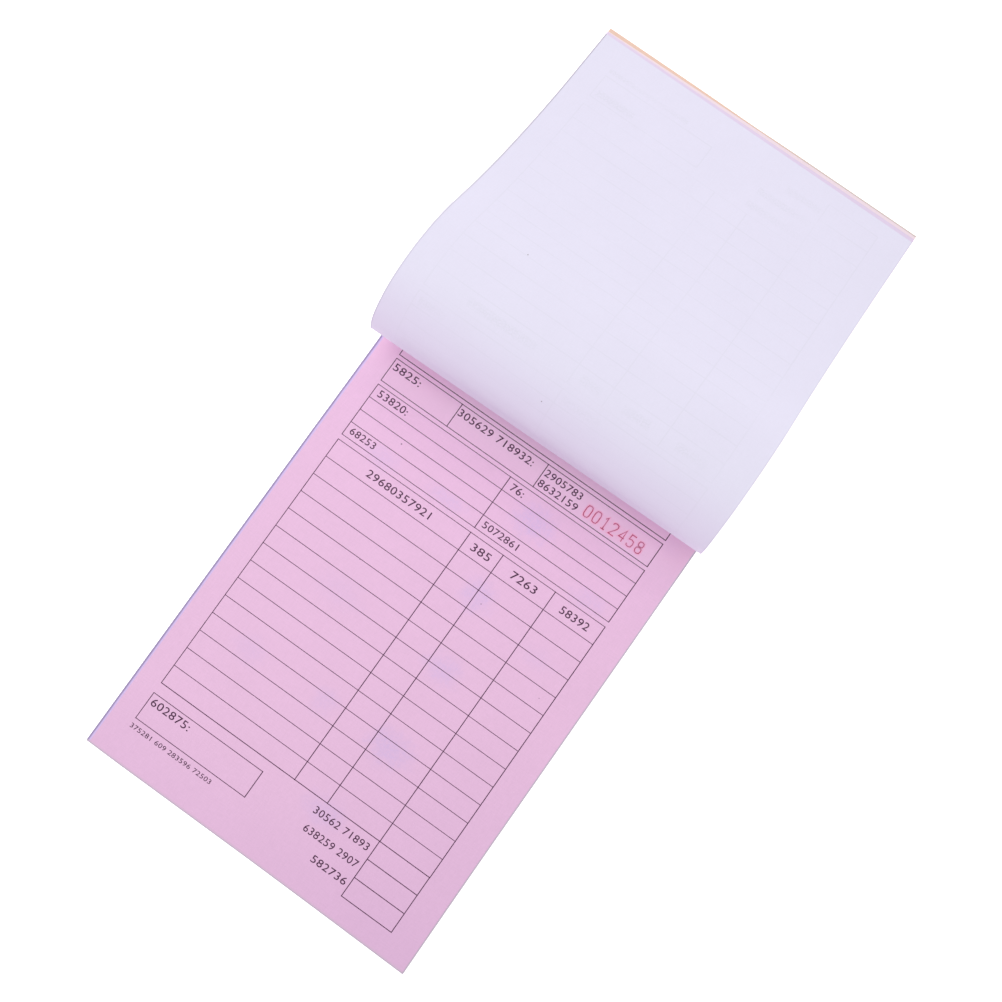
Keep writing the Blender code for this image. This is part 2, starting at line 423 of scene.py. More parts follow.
def white_back():
    """Back of the second white leaf: the form on its front shows through very faintly."""
    paint = Paint("white_paper_back")
    vector, x, s = paint.leaf_map()
    colour, height, cloud, fine = paper_ground(paint, vector, WHITE, 0.016, 0.038)
    # painted shade and painted light: a shade greyer towards the head's left corner, a little lighter towards the far
    # right
    painted_light_grade = (x * 0.6 + s * 0.5).step(-15.0, 130.0, -0.026, 0.034) * s.step(28.0, 62.0)
    colour = paint.shade(colour, painted_light_grade + 1.0)
    y = s * -1.0 + LEAF_L
    ruled, bars = show_through(paint, x, y)
    broken = paint.noise(vector, 1.4, 2.0, 0.6)
    patchy = paint.noise(vector, 0.035, 1.0, 0.5).step(0.30, 0.62, 0.35, 1.0)
    ghost = (ruled * 0.085 + bars * broken.step(0.35, 0.65) * 0.11) * patchy
    colour = paint.mix(colour, (0.42, 0.46, 0.46), ghost)
    # painted shade, tinted pink-violet, where the leaf bends hardest, and painted shade as a dark grey-violet line
    # along the long edges
    bend_shade = s.step(70.0, 38.0) * s.step(8.0, 20.0)
    colour = paint.mix(colour, (0.80, 0.68, 0.90), bend_shade * BEND_SHADE_AMOUNT)
    long_edge_shade = x.step(-73.2, -73.65) * s.step(60.0, 160.0, 0.45, 1.0) + x.step(73.5, 73.9) * 0.35
    colour = paint.mix(colour, (0.46, 0.43, 0.52), long_edge_shade * 0.75)
    colour = specks(paint, x, s, colour, LEAF_SPECKS)
    colour = flecks(paint, vector, colour, (0.10, 0.08, 0.12), 0.021, 0.0045, 0.9)
    paint.colour(colour)
    paint.roughness(fine * 0.15 + 0.56)
    paint.bump(height, 0.00003, 0.35)


def pink_paper():
    paint = Paint("pink_paper")
    vector, x, y = paint.leaf_map()
    colour, height, cloud, fine = paper_ground(paint, vector, PINK, 0.015, 0.03)
    paint.colour(flecks(paint, vector, colour, (0.38, 0.18, 0.34), 0.05, 0.008))
    paint.roughness(fine * 0.15 + 0.56)
    paint.bump(height, 0.00003, 0.35)


def white_warm():
    """White leaf whose free edge has taken on a warm tint from the card it lies on."""
    paint = Paint("white_paper_warm")
    vector, x, s = paint.leaf_map()
    colour, height, cloud, fine = paper_ground(paint, vector, WHITE, 0.012, 0.022)
    paint.colour(paint.mix(colour, (0.93, 0.77, 0.84), s.step(LEAF_L - 3.0, LEAF_L)))
    paint.roughness(fine * 0.15 + 0.56)
    paint.bump(height, 0.00003, 0.35)


def pink_back():
    """Back of a pink leaf: tinted only from the front, so paler and cooler."""
    paint = Paint("pink_paper_back")
    vector, x, y = paint.leaf_map()
    colour, height, cloud, fine = paper_ground(paint, vector, PINK_BACK, 0.015, 0.03)
    paint.colour(flecks(paint, vector, colour, (0.38, 0.18, 0.34), 0.05, 0.008))
    paint.roughness(fine * 0.15 + 0.56)
    paint.bump(height, 0.00003, 0.35)


# pressure marks of the copy coating: x, y, half width, half height, strength
BLOTCHES = (
    (17.0, 163.6, 10.0, 8.0, 0.75), (-15.7, 151.8, 10.0, 4.0, 0.45), (-45.6, 150.5, 9.0, 5.0, 0.40),
    (51.0, 151.5, 9.0, 4.5, 0.40), (15.5, 128.4, 8.0, 8.0, 0.70), (20.7, 98.1, 9.0, 7.0, 0.60),
    (21.9, 62.6, 11.0, 8.0, 0.75), (-8.3, 62.9, 6.0, 6.0, 0.40), (-43.4, 62.2, 8.0, 6.0, 0.30),
    (15.7, 29.3, 10.0, 7.0, 0.55), (-28.0, 100.0, 12.0, 7.0, 0.22), (47.0, 122.0, 9.0, 5.0, 0.22),
    (63.0, 186.0, 6.0, 4.0, 0.60),
)


def pink_page():
    """Exposed copy: pink paper with faint violet pressure marks."""
    paint = Paint("pink_page")
    vector, x, y = paint.leaf_map()
    colour, height, cloud, fine = paper_ground(paint, vector, PINK, 0.026, 0.095)
    ragged = paint.noise(vector, 0.22, 4.0, 0.65)
    marks = None
    for bx, by, rx, ry, strength in BLOTCHES:
        dx, dy = (x - bx) / rx, (y - by) / ry
        reach = (dx * dx + dy * dy).math("SQRT") + (ragged - 0.5) * 1.5
        one = reach.step(1.25, 0.15) * strength
        marks = one if marks is None else marks.max(one)
    dabs = paint.noise(vector, 0.9, 3.0, 0.7).step(0.30, 0.70)
    colour = paint.mix(colour, (0.66, 0.50, 0.84), marks * (dabs * 0.45 + 0.30))
    # painted light: the sheet is paler near the head, where the turned leaves shade it; painted shade: a deeper pink at
    # the foot of the loop across the middle
    side = x.math("ABSOLUTE").step(54.0, 73.0, 1.0, 0.35)
    colour = paint.mix(colour, (0.965, 0.680, 0.875), y.step(168.0, 188.0) * side)
    colour = paint.mix(colour, (0.930, 0.560, 0.800), y.step(174.0, 186.0) * x.abs().step(25.0, 55.0) * 0.5)
    # a little red of the number has spread into the paper round it
    text, left, right, low, high = SERIAL
    spread = x.step(left - 1.3, left + 0.3) * x.step(right + 1.3, right - 0.3)
    spread = spread * y.step(low - 1.3, low + 0.3) * y.step(low + high + 1.3, low + high - 0.3)
    colour = paint.mix(colour, (0.960, 0.510, 0.710), spread * dabs.step(0.0, 1.0, 0.2, 0.4))
    # painted shade: darker towards the lower right of the page and along its free edge
    dull_and_painted_shade = x.step(-20.0, 70.0) * y.step(112.0, 30.0) * 0.045 + y.step(36.0, 0.0) * 0.032
    colour = paint.mix(colour, (0.40, 0.22, 0.55), dull_and_painted_shade * 1.6)
    # painted shade: a grey line along the free edge, wider towards the right
    free_edge_shade = y + (x / 70.0).max(0.0).math("POWER", 1.3) * 0.6
    colour = paint.mix(colour, (0.58, 0.52, 0.58), free_edge_shade.step(0.25, -0.45) * 0.3)
    colour = flecks(paint, vector, colour, (0.95, 0.74, 0.89), 0.24, 0.05, 0.45)
    colour = specks(paint, x, y, colour, PAGE_SPECKS)
    colour = flecks(paint, vector, colour, (0.30, 0.14, 0.28), 0.028, 0.0055)
    paint.colour(colour)
    paint.roughness(fine * 0.15 + 0.56)
    paint.bump(height, 0.00003, 0.4)


def under_sheet():
    """White sheet under the exposed page: a blue-violet band along its left edge, with painted shade as a dark line at
    that edge and as grey along the right edge and the free edge.
    """
    paint = Paint("white_paper_shaded_edge")
    vector, x, y = paint.leaf_map()
    colour, height, cloud, fine = paper_ground(paint, vector, WHITE, 0.012, 0.022)
    uneven = paint.noise(vector, 0.10, 2.0, 0.5)
    colour = paint.mix(colour, (0.70, 0.50, 0.91), x.step(-71.6, -72.4) * 0.75)
    # painted shade: a dark blue-violet line at the left edge, and grey along the right edge and the free edge
    colour = paint.mix(colour, (0.325, 0.258, 0.455), (x + uneven * 0.3).step(-72.45, -72.95) * 0.90)
    colour = paint.mix(colour, (0.60, 0.50, 0.60), x.step(72.9, 73.3).max(y.step(0.0, -0.5)) * 0.85)
    paint.colour(colour)
    paint.roughness(fine * 0.15 + 0.56)
    paint.bump(height, 0.00003, 0.35)


def cover_card():
    """Inside of the cover: plain buff-orange card, with painted shade greying its free edge towards the right."""
    paint = Paint("cover_card", 0.55)
    vector, x, s = paint.leaf_map()
    colour, height, cloud, fine = paper_ground(paint, vector, CARD, 0.03, 0.05)
    colour = flecks(paint, vector, colour, (0.46, 0.30, 0.20), 0.22, 0.035, 0.6)
    # painted shade: the free edge greyer towards the right
    paint.colour(paint.mix(colour, (0.68, 0.61, 0.60), x.step(-30.0, 40.0) * s.step(LEAF_L, LEAF_L + 2.0) * 0.8))
    paint.roughness(fine * 0.2 + 0.42)
    paint.bump(height, 0.00005, 0.5)


def cover_print():
    """Outside of the cover: the card with a double frame and three writing lines in brown."""
    paint = Paint("cover_print", 0.55)
    vector, x, s = paint.leaf_map()
    colour, height, cloud, fine = paper_ground(paint, vector, CARD, 0.03, 0.05)
    colour = flecks(paint, vector, colour, (0.46, 0.30, 0.20), 0.22, 0.035, 0.6)

    def frame_line(inset, half):
        dx = (x.abs() - (HALF_W - inset)).abs()
        dy = ((s - LEAF_L / 2).abs() - (LEAF_L / 2 - inset)).abs()
        inside_x = x.abs().step(HALF_W - inset + half + 0.05, HALF_W - inset + half)
        inside_y = (s - LEAF_L / 2).abs().step(LEAF_L / 2 - inset + half + 0.05, LEAF_L / 2 - inset + half)
        return dx.step(half + 0.05, half).max(dy.step(half + 0.05, half)) * inside_x * inside_y

    lines = frame_line(9.0, 0.55).max(frame_line(11.2, 0.2))
    for at in (128.0, 140.0, 152.0):
        lines = lines.max((s - at).abs().step(0.22, 0.17) * x.abs().step(44.05, 44.0))
    worn = paint.noise(vector, 1.2, 3.0, 0.7).step(0.25, 0.45, 0.6, 1.0)
    paint.colour(paint.mix(colour, (0.20, 0.075, 0.03), lines * worn * 0.9))
    paint.roughness(fine * 0.2 + 0.42)
    paint.bump(height, 0.00005, 0.5)


# ---------------------------------------------------------------- other materials
def ink(name, colour, cover, faded=0.0):
    """Printing ink: a little paper shows through where it is thin, and more where the type hardly touched."""
    paint = Paint(name, 0.5)
    vector, _ = paint.place_map()
    thin = paint.noise(vector, 2.2, 3.0, 0.7)
    patchy = paint.noise(vector, 0.34, 2.0, 0.5).step(0.44, 0.62, 1.0, 1.0 - faded)
    paint.colour(paint.mix(PINK, colour, thin.step(0.18, 0.5, cover, 1.0) * patchy))
    paint.roughness(thin * 0.2 + 0.42)


def grey_board():
    """Unlined grey board: pressed waste fibres, light and dark."""
    paint = Paint("grey_board", 0.85, specular=0.2)
    vector, _ = paint.place_map()
    cloud = paint.noise(vector, 0.07, 4.0, 0.6)
    fibre = paint.noise(paint.stretched(vector, (0.35, 1.7, 2.4)), 1.3, 4.0, 0.65)
    fine = paint.noise(vector, 4.0, 2.0, 0.6)
    layer = paint.noise(paint.stretched(vector, (0.05, 0.05, 5.0)), 1.0, 2.0, 0.6)
    tone = (cloud - 0.5) * 0.18 + (fibre - 0.5) * 0.30 + (fine - 0.5) * 0.14 + (layer - 0.5) * 0.16 + 1.0
    colour = paint.shade((0.400, 0.375, 0.330), tone)
    colour = flecks(paint, vector, colour, (0.12, 0.11, 0.11), 0.55, 0.16, 0.65)
    colour = flecks(paint, paint.stretched(vector, (1.1, 0.9, 1.0)), colour, (0.70, 0.67, 0.60), 0.47, 0.14, 0.6)
    paint.colour(colour)
    paint.roughness(fine * 0.2 + 0.75)
    paint.bump(fibre + fine * 0.6, 0.00008, 0.6)


# worn places along the tape, from its top edge round to its bottom edge: distance and half width
TAPE_WEAR = ((0.0, 0.7), (11.3, 1.2), (22.2, 1.2), (34.0, 0.7))


def binding_cloth():
    """Coated book cloth: a fine plain weave under a charcoal coating, rubbed at the folds."""
    paint = Paint("binding_cloth", 0.62, specular=0.4)
    vector, x, y = paint.leaf_map()

    def thread(value, pitch):
        return (value * (math.pi / pitch)).math("SINE").abs()

    sway = paint.noise(vector, 0.35, 2.0, 0.5)
    warp = thread(x + sway * 0.25, 0.55)
    weft = thread(y + sway * 0.25, 0.50)
    parity = ((x + sway * 0.25) / 0.55).math("FLOOR") + ((y + sway * 0.25) / 0.50).math("FLOOR")
    odd = (parity * 0.5).math("FRACT") * 2.0
    over = odd.step(0.45, 0.55)
    height = warp * over + weft * (over * -1.0 + 1.0)
    slub = paint.noise(paint.stretched(vector, (0.12, 1.8, 1.0)), 1.0, 2.0, 0.6)
    cloud = paint.noise(vector, 0.05, 3.0, 0.6)
    tone = height * 0.55 + (slub - 0.5) * 0.5 + (cloud - 0.5) * 0.4 + 0.65
    colour = paint.shade((0.030, 0.031, 0.040), tone)
    rub = paint.noise(vector, 0.8, 3.0, 0.7)
    colour = paint.mix(colour, (0.16, 0.16, 0.175), rub.step(0.62, 0.78) * height.step(0.5, 1.0) * 0.6)
    # the coating is worn pale along the two folds, at the cut edges and at the ends
    scuff = paint.noise(paint.stretched(vector, (0.5, 1.6, 1.0)), 0.55, 4.0, 0.7)
    wear = None
    for at, wide in TAPE_WEAR:
        one = (y - at).abs().step(wide, 0.1)
        wear = one if wear is None else wear.max(one)
    wear = wear.max((x.abs() - HALF_W).step(-0.9, 0.0))
    colour = paint.mix(colour, (0.21, 0.205, 0.21), wear * scuff.step(0.36, 0.66) * 0.8)
    paint.colour(colour)
    paint.roughness(height * -0.15 + 0.70)
    paint.bump(height + slub * 0.4, 0.00009, 0.8)


def steel_wire():
    """Bright drawn wire with fine draw marks along it and a little dulling."""
    paint = Paint("steel_wire", 0.28, 1.0, 0.5)
    vector, (x, y, z) = paint.place_map()
    draw = paint.noise(paint.stretched(vector, (0.3, 9.0, 9.0)), 2.2, 3.0, 0.6)
    dull_and_painted_shade = paint.noise(vector, 0.6, 4.0, 0.65)
    paint.colour(paint.mix((0.68, 0.68, 0.70), (0.40, 0.39, 0.40), dull_and_painted_shade.step(0.45, 0.75) * 0.7))
    paint.roughness(draw * 0.2 + dull_and_painted_shade * 0.15 + 0.12)
    paint.bump(draw, 0.00001, 0.5)


for make in (white_paper, white_back, white_warm, pink_paper, pink_back, pink_page, under_sheet, cover_card, cover_print,
             grey_board, binding_cloth, steel_wire):
    make()
ink("form_ink", (0.070, 0.014, 0.058), 0.88)
ink("serial_ink", (0.465, 0.035, 0.125), 0.88, 0.18)
ink("serial_bleed", (0.960, 0.485, 0.700), 0.6, 0.3)


# ---------------------------------------------------------------- mesh helpers
def finish_mesh(name, bm, mats, smooth_angle=None):
    bm.normal_update()
    mesh = bpy.data.meshes.new(name)
    bm.to_mesh(mesh)
    bm.free()
    for mat in mats:
        mesh.materials.append(MATS[mat])
    if smooth_angle is not None:
        mesh.shade_smooth()
        mesh.set_sharp_from_angle(angle=math.radians(smooth_angle))
    obj = bpy.data.objects.new(name, mesh)
    bpy.context.scene.collection.objects.link(obj)
    return obj


PINCH = 0.45


def page_relief(x, y, share=1.0):
    """Slight unevenness of a sheet lying on the pad; towards the head the binding presses the sheets together."""
    free = min(1.0, max(0.0, (95.0 - y) / 150.0))
    near = min(1.0, max(0.0, (y - 22.0) / 44.0))
    wave = 0.035 * math.sin(0.052 * x + 0.8) * math.sin(0.041 * y) + 0.03 * math.sin(0.083 * y + 0.031 * x)
    return free * wave - PINCH * share * near * near * (3.0 - 2.0 * near)


def overhang(x):
    """How far the sheets run past the board at the free edge."""
    return 1.12 + 0.6 * max(0.0, x / 70.0) ** 1.3 - 0.12 * max(0.0, (-60.0 - x) / 12.0)


def outline(left, right, past):
    """Maps a place on the book's full rectangle to a sheet cut from left to right, its free edge past the usual one."""
    def trim(x, y):
        x = left + (x + HALF_W) / (2 * HALF_W) * (right - left)
        # the sheets fan out a little towards the free right corner
        x += 0.3 * max(0.0, x / HALF_W) * max(0.0, (-50.0 - y) / 61.0) ** 1.5
        if y < PERF_Y:
            length = PERF_Y + HALF_L
            y = PERF_Y - (PERF_Y - y) * (length + overhang(x) + past) / length
        return x, y
    return trim


def sheet_solid(bm, uv, xs, ys, z_top, thick, trim, keep=None, share=None, mat=0):
    """A closed thin sheet over the kept cells of a grid (row mm), with leaf coordinates."""
    nx, ny = len(xs) - 1, len(ys) - 1
    kept = {(i, j) for i in range(nx) for j in range(ny)
            if keep is None or keep((xs[i] + xs[i + 1]) / 2, (ys[j] + ys[j + 1]) / 2)}
    verts = {}

    def corner(i, j, side):
        key = (i, j, side)
        if key not in verts:
            x, y = trim(xs[i], ys[j])
            rise = 0.0 if share is None else page_relief(x, y, share)
            z = z_top + rise - (thick if side else 0.0)
            v = bm.verts.new((x * MM, y * MM, z * MM))
            verts[key] = (v, (x / 100.0, (y + HALF_L) / 100.0))
        return verts[key]

    def face(ring):
        f = bm.faces.new([c[0] for c in ring])
        f.material_index = mat
        for loop, c in zip(f.loops, ring):
            loop[uv].uv = c[1]

    for i, j in sorted(kept):
        face([corner(i, j, 0), corner(i + 1, j, 0), corner(i + 1, j + 1, 0), corner(i, j + 1, 0)])
        face([corner(i, j, 1), corner(i, j + 1, 1), corner(i + 1, j + 1, 1), corner(i + 1, j, 1)])
        for (di, dj), (a, b) in (((-1, 0), ((i, j + 1), (i, j))), ((1, 0), ((i + 1, j), (i + 1, j + 1))),
                                 ((0, -1), ((i, j), (i + 1, j))), ((0, 1), ((i + 1, j + 1), (i, j + 1)))):
            if (i + di, j + dj) not in kept:
                face([corner(*a, 0), corner(*a, 1), corner(*b, 1), corner(*b, 0)])


def even(a, b, n):
    return [a + (b - a) * i / n for i in range(n + 1)]


# ---------------------------------------------------------------- pad
def exposed_page():
    """The pink copy that lies open, with its perforation."""
    pitch = 2 * HALF_W / 29
    slits = [(-HALF_W + (i + 0.5) * pitch - 1.6, -HALF_W + (i + 0.5) * pitch + 1.6) for i in range(29)]
    xs = sorted({-HALF_W, HALF_W} | {round(v, 4) for pair in slits for v in pair})
    ys = even(-HALF_L, PERF_Y - 0.15, 52) + [PERF_Y + 0.15] + even(PERF_Y + 0.15, HALF_L, 3)[1:]

    def keep(x, y):
        return not (abs(y - PERF_Y) < 0.15 and any(a < x < b for a, b in slits))

    bm = bmesh.new()
    uv = bm.loops.layers.uv.new("leaf")
    sheet_solid(bm, uv, xs, ys, PAGE_Z, 0.09, outline(-72.2, 73.1, -0.45), keep=keep, share=1.0)
    return finish_mesh("pink_copy_2_page", bm, ["pink_page"], 40)


def under_page(name, mat, z_top, share, cut):
    bm = bmesh.new()
    uv = bm.loops.layers.uv.new("leaf")
    sheet_solid(bm, uv, even(-HALF_W, HALF_W, 30), even(-HALF_L, HALF_L, 45), z_top, 0.09, outline(*cut), share=share)
    return finish_mesh(name, bm, [mat], 40)


def sheet_stack():
    """The sets that are left: loose-cut white and pink sheets, each a little out of line."""
    rng = random.Random(11)
    bm = bmesh.new()
    uv = bm.loops.layers.uv.new("leaf")
    low, high, pitch = 1.68, 8.92, 0.0905
    count = int((high - low) / pitch)
    drift = 0.0
    for i in range(count):
        drift = 0.8 * drift + rng.uniform(-0.06, 0.06)
        side = drift + rng.uniform(-0.10, 0.10)
        cut = outline(-73.2 + side, 73.3 + side, -0.25 + rng.uniform(-0.14, 0.14))
        xs, ys = even(-HALF_W, HALF_W, 4), even(-HALF_L, HALF_L - 0.12, 2)
        sheet_solid(bm, uv, xs, ys, low + (i + 1) * pitch, 0.075, cut, mat=i % 2)
    return finish_mesh("remaining_sheets", bm, ["pink_paper", "white_paper"])


def line_solids(name, lines, height, mat):
    """Printed lines as closed strips that stand a hair above the page and follow it."""
    bm = bmesh.new()
    for x0, y0, x1, y1, width in lines:
        length = math.hypot(x1 - x0, y1 - y0)
        n = max(1, int(length / 6.0))
        tx, ty = (x1 - x0) / length, (y1 - y0) / length
        rings = []
        for i in range(n + 1):
            along = -width / 2 + (length + width) * i / n
            ring = []
            for side, up in ((-1, 0), (1, 0), (1, 1), (-1, 1)):
                x = x0 + tx * along - ty * side * width / 2
                y = y0 + ty * along + tx * side * width / 2
                z = PAGE_Z + page_relief(x, y - HALF_L) + (height if up else -0.02)
                ring.append(bm.verts.new((x * MM, (y - HALF_L) * MM, z * MM)))
            rings.append(ring)
        for a, b in zip(rings, rings[1:]):
            for k in range(4):
                bm.faces.new((a[k], b[k], b[(k + 1) % 4], a[(k + 1) % 4]))
        bm.faces.new(rings[0])
        bm.faces.new(rings[-1][::-1])
    bmesh.ops.recalc_face_normals(bm, faces=bm.faces[:])
    return finish_mesh(name, bm, [mat])


def figures(name, labels, mat):
    """Printed figures from the plain built-in face, as thin closed solids on the page."""
    bm = bmesh.new()
    for text, x0, x1, mid, tall in labels:
        data = bpy.data.curves.new("figures", "FONT")
        data.body = text
        data.size = tall * 1.42 * MM
        data.space_character = 1.05
        data.offset = 0.005 * tall * MM
        data.extrude = 0.006 * MM
        data.resolution_u = 3
        obj = bpy.data.objects.new("figures", data)
        bpy.context.scene.collection.objects.link(obj)
        bpy.context.view_layer.update()
        graph = bpy.context.evaluated_depsgraph_get()
        mesh = bpy.data.meshes.new_from_object(obj.evaluated_get(graph))
        place = np.array([v.co[:] for v in mesh.vertices])
        low, wide = place.min(0), np.ptp(place, axis=0)
        start = len(bm.verts)
        bm.from_mesh(mesh)
        bm.verts.ensure_lookup_table()
        for v in bm.verts[start:]:
            across, along, up = (np.array(v.co) - low) / wide
            x = x0 + across * (x1 - x0)
            y = mid + (along - 0.5) * tall - HALF_L
            v.co = (x * MM, y * MM, (PAGE_Z + page_relief(x, y) - 0.02 + 0.032 * up) * MM)
        bpy.data.objects.remove(obj)
        bpy.data.curves.remove(data)
        bpy.data.meshes.remove(mesh)
    bmesh.ops.remove_doubles(bm, verts=bm.verts[:], dist=1e-7)
    return finish_mesh(name, bm, [mat])


# numbering-machine figures on a box of 1 x 2, as open or closed strokes
STROKES = {
    "0": (((0.5, 2), (0.86, 1.9), (1, 1.5), (1, 0.5), (0.86, 0.1), (0.5, 0), (0.14, 0.1), (0, 0.5), (0, 1.5), (0.14, 1.9), (0.5, 2)),),
    "1": (((0.2, 1.62), (0.55, 2), (0.55, 0)), ((0.2, 0), (0.9, 0))),
    "2": (((0, 1.55), (0.1, 1.86), (0.5, 2), (0.9, 1.86), (1, 1.5), (0.85, 1.15), (0, 0), (1, 0)),),
    "4": (((0.78, 0), (0.78, 2), (0, 0.62), (1, 0.62)),),
    "5": (((0.95, 2), (0.12, 2), (0.05, 1.15), (0.5, 1.26), (0.9, 1.1), (1, 0.65), (0.88, 0.15), (0.5, 0), (0.1, 0.12), (0, 0.4)),),
    "8": (((0.5, 1.08), (0.12, 1.24), (0.06, 1.6), (0.16, 1.9), (0.5, 2), (0.84, 1.9), (0.94, 1.6), (0.88, 1.24), (0.5, 1.08),
           (0.94, 0.86), (1, 0.5), (0.88, 0.12), (0.5, 0), (0.12, 0.12), (0, 0.5), (0.06, 0.86), (0.5, 1.08)),),
}


def stroke_solid(bm, points, width, height):
    """One pen stroke as a closed strip; points in page mm."""
    pts = [Vector(p) for p in points]
    loop = (pts[0] - pts[-1]).length < 1e-6
    rings = []
    for i, p in enumerate(pts):
        before = pts[i - 1] if i else (pts[-2] if loop else p)
        after = pts[i + 1] if i + 1 < len(pts) else (pts[1] if loop else p)
        d1 = (p - before).normalized() if before is not p else (after - p).normalized()
        d2 = (after - p).normalized() if after is not p else d1
        mean = (d1 + d2)
        mean = mean.normalized() if mean.length > 1e-6 else d1
        side = Vector((-mean.y, mean.x)) * (width / 2 / max(0.5, mean.dot(d2)))
        ring = []
        for s, up in ((-1, 0), (1, 0), (1, 1), (-1, 1)):
            q = p + side * s
            z = PAGE_Z + page_relief(q.x, q.y - HALF_L) + (height if up else -0.02)
            ring.append(bm.verts.new((q.x * MM, (q.y - HALF_L) * MM, z * MM)))
        rings.append(ring)
    for a, b in zip(rings, rings[1:]):
        for k in range(4):
            bm.faces.new((a[k], b[k], b[(k + 1) % 4], a[(k + 1) % 4]))
    bm.faces.new(rings[0])
    bm.faces.new(rings[-1][::-1])


def serial_number(name, width, height):
    text, x0, x1, y0, high = SERIAL
    rng = random.Random(5)
    bm = bmesh.new()
    pitch = (x1 - x0) / (len(text) - 0.35)
    wide = pitch * 0.60
    for i, figure in enumerate(text):
        lift = rng.uniform(-0.12, 0.12)
        for stroke in STROKES[figure]:
            stroke_solid(bm, [(x0 + pitch * i + px * wide, y0 + lift + py * high / 2) for px, py in stroke], width, height)
    bmesh.ops.recalc_face_normals(bm, faces=bm.faces[:])
    return finish_mesh(name, bm, [name.replace("number", "ink")])


def tape():
    """Cloth strip folded round the head, with soft bends and a slightly uneven cut edge."""
    rng = random.Random(3)
    top, low, spine, radius = 11.915, 0.675, HALF_L + 0.225, 0.75
    path = [(y, top, 0.0) for y in even(99.8, spine - radius, 14)]
    for i in range(1, 9):
        a = math.radians(90 - 90 * i / 9)
        path.append((spine - radius + radius * math.cos(a), top - radius + radius * math.sin(a), 0.0))
    path += [(spine, z, 0.0) for z in even(top - radius, low + radius, 12)]
    for i in range(1, 9):
        a = math.radians(-90 * i / 9)
        path.append((spine - radius + radius * math.cos(a), low + radius + radius * math.sin(a), 0.0))
    path += [(y, low, 0.0) for y in even(spine - radius, 99.2, 14)]
    pts = np.array([(p[0], p[1]) for p in path])
    tangent = np.gradient(pts, axis=0)
    tangent /= np.linalg.norm(tangent, axis=1)[:, None]
    normal = np.stack([-tangent[:, 1], tangent[:, 0]], 1)
    way = np.concatenate([[0.0], np.cumsum(np.linalg.norm(np.diff(pts, axis=0), axis=1))])
    xs = even(-HALF_W, HALF_W, 74)
    wobble = [[rng.uniform(-0.06, 0.06) for _ in xs] for _ in range(2)]
    bm = bmesh.new()
    uv = bm.loops.layers.uv.new("leaf")
    grid = {}
    n = len(pts)
    for k in range(n):
        for i, x in enumerate(xs):
            for side in (0, 1):
                off = normal[k] * (0.12 if side == 0 else -0.12)
                end = wobble[0][i] if k == 0 else wobble[1][i] if k == n - 1 else 0.0
                y, z = pts[k] + off + tangent[k] * end
                grid[(i, k, side)] = (bm.verts.new((x * MM, y * MM, z * MM)), (x / 100.0, way[k] / 100.0))

    def face(keys):
        ring = [grid[key] for key in keys]
        f = bm.faces.new([c[0] for c in ring])
        for loop, c in zip(f.loops, ring):
            loop[uv].uv = c[1]

    m = len(xs) - 1
    for k in range(n - 1):
        for i in range(m):
            face([(i, k, 0), (i + 1, k, 0), (i + 1, k + 1, 0), (i, k + 1, 0)])
            face([(i, k, 1), (i, k + 1, 1), (i + 1, k + 1, 1), (i + 1, k, 1)])
        face([(0, k, 0), (0, k + 1, 0), (0, k + 1, 1), (0, k, 1)])
        face([(m, k, 0), (m, k, 1), (m, k + 1, 1), (m, k + 1, 0)])
    for i in range(m):
        face([(i, 0, 0), (i, 0, 1), (i + 1, 0, 1), (i + 1, 0, 0)])
        face([(i, n - 1, 0), (i + 1, n - 1, 0), (i + 1, n - 1, 1), (i, n - 1, 1)])
    bmesh.ops.recalc_face_normals(bm, faces=bm.faces[:])
    return finish_mesh("binding_tape_cloth", bm, ["binding_cloth"], 50)


def pad():
    page = exposed_page()
    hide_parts("pink_copy_2")
    pieces = [(page, "pink_paper")]
    for name, mat, slot, z, share, cut in (
            ("white_copy_3", "white_paper_shaded_edge", "white_paper", 9.76, 0.90, (-73.57, 73.7, 0.0)),
            ("pink_copy_3", "pink_paper", "pink_paper", 9.56, 0.68, (-73.0, 73.3, -0.3)),
            ("white_copy_4", "white_paper", "white_paper", 9.36, 0.46, (-73.3, 73.45, -0.1)),
            ("pink_copy_4", "pink_paper", "pink_paper", 9.14, 0.20, (-72.95, 73.3, -0.35))):
        sheet = under_page(name + "_sheet", mat, z, share, cut)
        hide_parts(name)
        pieces.append((sheet, slot))
    stack = sheet_stack()
    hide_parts("remaining_sets")
    pieces.append((stack, "white_paper"))
    cloth = tape()
    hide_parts("binding_tape")
    pieces.append((cloth, "binding_cloth"))
    pieces.append((line_solids("form_lines", form_lines(), 0.012, "form_ink"), None))
    pieces.append((figures("form_figures", LABELS, "form_ink"), None))
    pieces.append((serial_number("serial_bleed", 1.15, 0.005), None))
    pieces.append((serial_number("serial_number", 0.345, 0.012), None))
    for obj, slot in pieces:
        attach(obj, "pad")
    for node, mat in (("back_board", "grey_board"), ("staple_left", "steel_wire"), ("staple_right", "steel_wire")):
        mesh = NODES[node].data
        mesh.materials.clear()
        mesh.materials.append(MATS[mat])
        if node.startswith("staple"):
            mesh.shade_smooth()


# ---------------------------------------------------------------- turned leaves
def unit(v):
    return v / np.linalg.norm(v)


JOINTS = frame["joints"]
FOLD = [max(j["range_deg"], key=abs) for j in JOINTS]
LAST_PANEL = 40.0
HINGE = [np.array([j["pos_m"][1], j["pos_m"][2]]) / MM for j in JOINTS]
END_DIR = math.radians(sum(FOLD))
HINGE.append(HINGE[-1] + LAST_PANEL * np.array([-math.cos(END_DIR), math.sin(END_DIR)]))
HINGE = np.array(HINGE)
COUNT = len(JOINTS)


def reach(points):
    """Half length of the bend at each inner point of the tangent polygon."""
    lengths = np.linalg.norm(np.diff(points, axis=0), axis=1)
    return [1.6] + [0.485 * min(lengths[j - 1], lengths[j]) for j in range(1, COUNT)]


